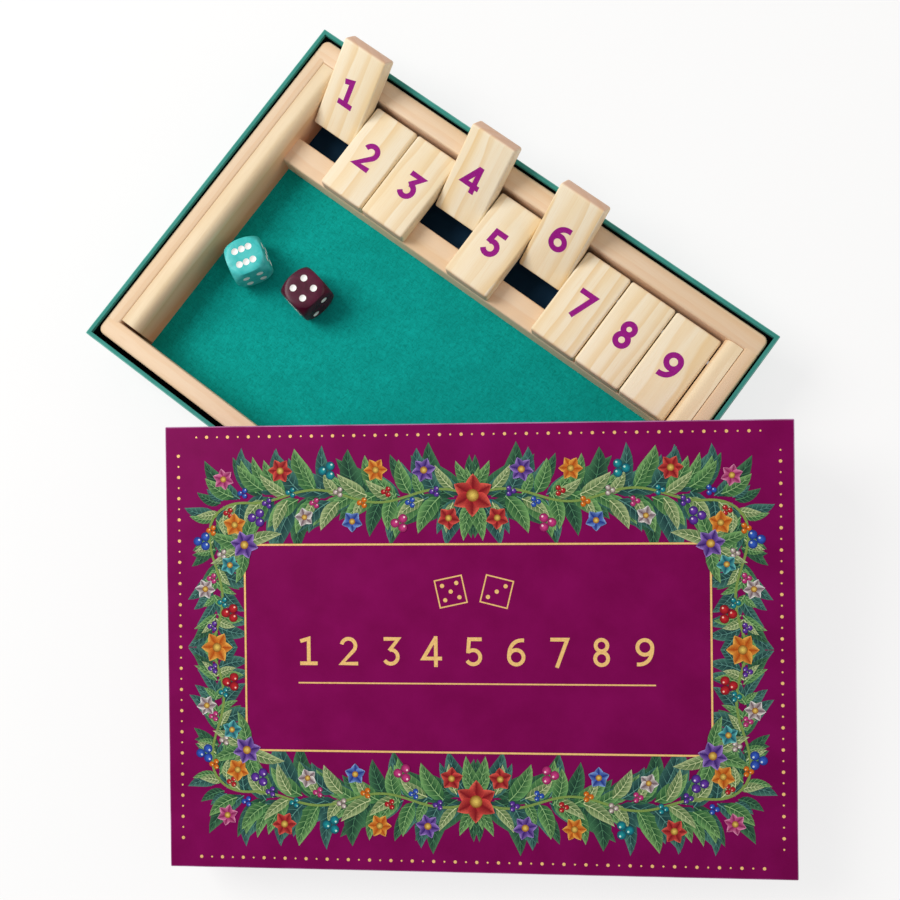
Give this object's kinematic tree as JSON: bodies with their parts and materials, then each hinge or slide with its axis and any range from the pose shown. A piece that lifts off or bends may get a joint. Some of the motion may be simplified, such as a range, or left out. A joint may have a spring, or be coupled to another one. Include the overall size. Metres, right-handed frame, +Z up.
{
  "type": "shut the box game",
  "caption": "Tabletop dice game in a two-part cardboard box: a felt-lined pine tray with numbered wooden tiles that flip on a hidden rod, dice, and a lift-off lid laid open across it",
  "frame": {"origin": "centre of the base box's underside, on the table", "axes": "+X along the base's long side, to the right of a player at the front; +Y from the front of the base to its back, where the tiles are; +Z up"},
  "size_m": [0.3465, 0.3024, 0.054],
  "materials": {
    "grey_board": "matte",
    "teal_paper": "matte",
    "black_paper": "matte",
    "plum_paper": "satin",
    "pine": "satin",
    "pine_frame": "satin",
    "plywood": "satin",
    "teal_felt": "matte",
    "steel": "satin",
    "teal_plastic": "gloss",
    "plum_plastic": "gloss"
  },
  "bodies": {
    "game_base": {"base_board": "grey_board", "base_wrap": "teal_paper", "base_liner": "black_paper", "tray_floor": "plywood", "frame_front": "pine_frame", "frame_back": "pine_frame", "frame_left": "pine_frame", "frame_right": "pine_frame", "cheek_left": "pine_frame", "cheek_right": "pine_frame", "tile_slat": "pine_frame", "felt_pad": "teal_felt", "pit_paper": "black_paper", "tile_rod": "steel"},
    "tile_1": {"tile_1": "pine"},
    "tile_2": {"tile_2": "pine"},
    "tile_3": {"tile_3": "pine"},
    "tile_4": {"tile_4": "pine"},
    "tile_5": {"tile_5": "pine"},
    "tile_6": {"tile_6": "pine"},
    "tile_7": {"tile_7": "pine"},
    "tile_8": {"tile_8": "pine"},
    "tile_9": {"tile_9": "pine"},
    "die_teal": {"die_teal": "teal_plastic"},
    "die_plum": {"die_plum": "plum_plastic"},
    "lid": {"lid_board": "grey_board", "lid_wrap": "plum_paper", "lid_liner": "black_paper"}
  },
  "joints": [
    {"name": "flip_1", "type": "hinge", "parent": "game_base", "child": "tile_1", "pos_m": [-0.086, 0.0573, 0.0203], "axis": [-1, 0, 0], "range_deg": [-139.1, 0]},
    {"name": "flip_2", "type": "hinge", "parent": "game_base", "child": "tile_2", "pos_m": [-0.0645, 0.0573, 0.0203], "axis": [-1, 0, 0], "range_deg": [0, 139.1]},
    {"name": "flip_3", "type": "hinge", "parent": "game_base", "child": "tile_3", "pos_m": [-0.043, 0.0573, 0.0203], "axis": [-1, 0, 0], "range_deg": [0, 139.1]},
    {"name": "flip_4", "type": "hinge", "parent": "game_base", "child": "tile_4", "pos_m": [-0.0215, 0.0573, 0.0203], "axis": [-1, 0, 0], "range_deg": [-139.1, 0]},
    {"name": "flip_5", "type": "hinge", "parent": "game_base", "child": "tile_5", "pos_m": [0, 0.0573, 0.0203], "axis": [-1, 0, 0], "range_deg": [0, 139.1]},
    {"name": "flip_6", "type": "hinge", "parent": "game_base", "child": "tile_6", "pos_m": [0.0215, 0.0573, 0.0203], "axis": [-1, 0, 0], "range_deg": [-139.1, 0]},
    {"name": "flip_7", "type": "hinge", "parent": "game_base", "child": "tile_7", "pos_m": [0.043, 0.0573, 0.0203], "axis": [-1, 0, 0], "range_deg": [0, 139.1]},
    {"name": "flip_8", "type": "hinge", "parent": "game_base", "child": "tile_8", "pos_m": [0.0645, 0.0573, 0.0203], "axis": [-1, 0, 0], "range_deg": [0, 139.1]},
    {"name": "flip_9", "type": "hinge", "parent": "game_base", "child": "tile_9", "pos_m": [0.086, 0.0573, 0.0203], "axis": [-1, 0, 0], "range_deg": [0, 139.1]},
    {"name": "die_teal_lift", "type": "slide", "parent": "game_base", "child": "die_teal", "axis": [0, 0, 1], "range_m": [0, 0.08]},
    {"name": "die_plum_lift", "type": "slide", "parent": "game_base", "child": "die_plum", "axis": [0, 0, 1], "range_m": [0, 0.08]},
    {"name": "lid_lift", "type": "slide", "parent": "game_base", "child": "lid", "axis": [0, 0, 1], "range_m": [0, 0.09]}
  ]
}
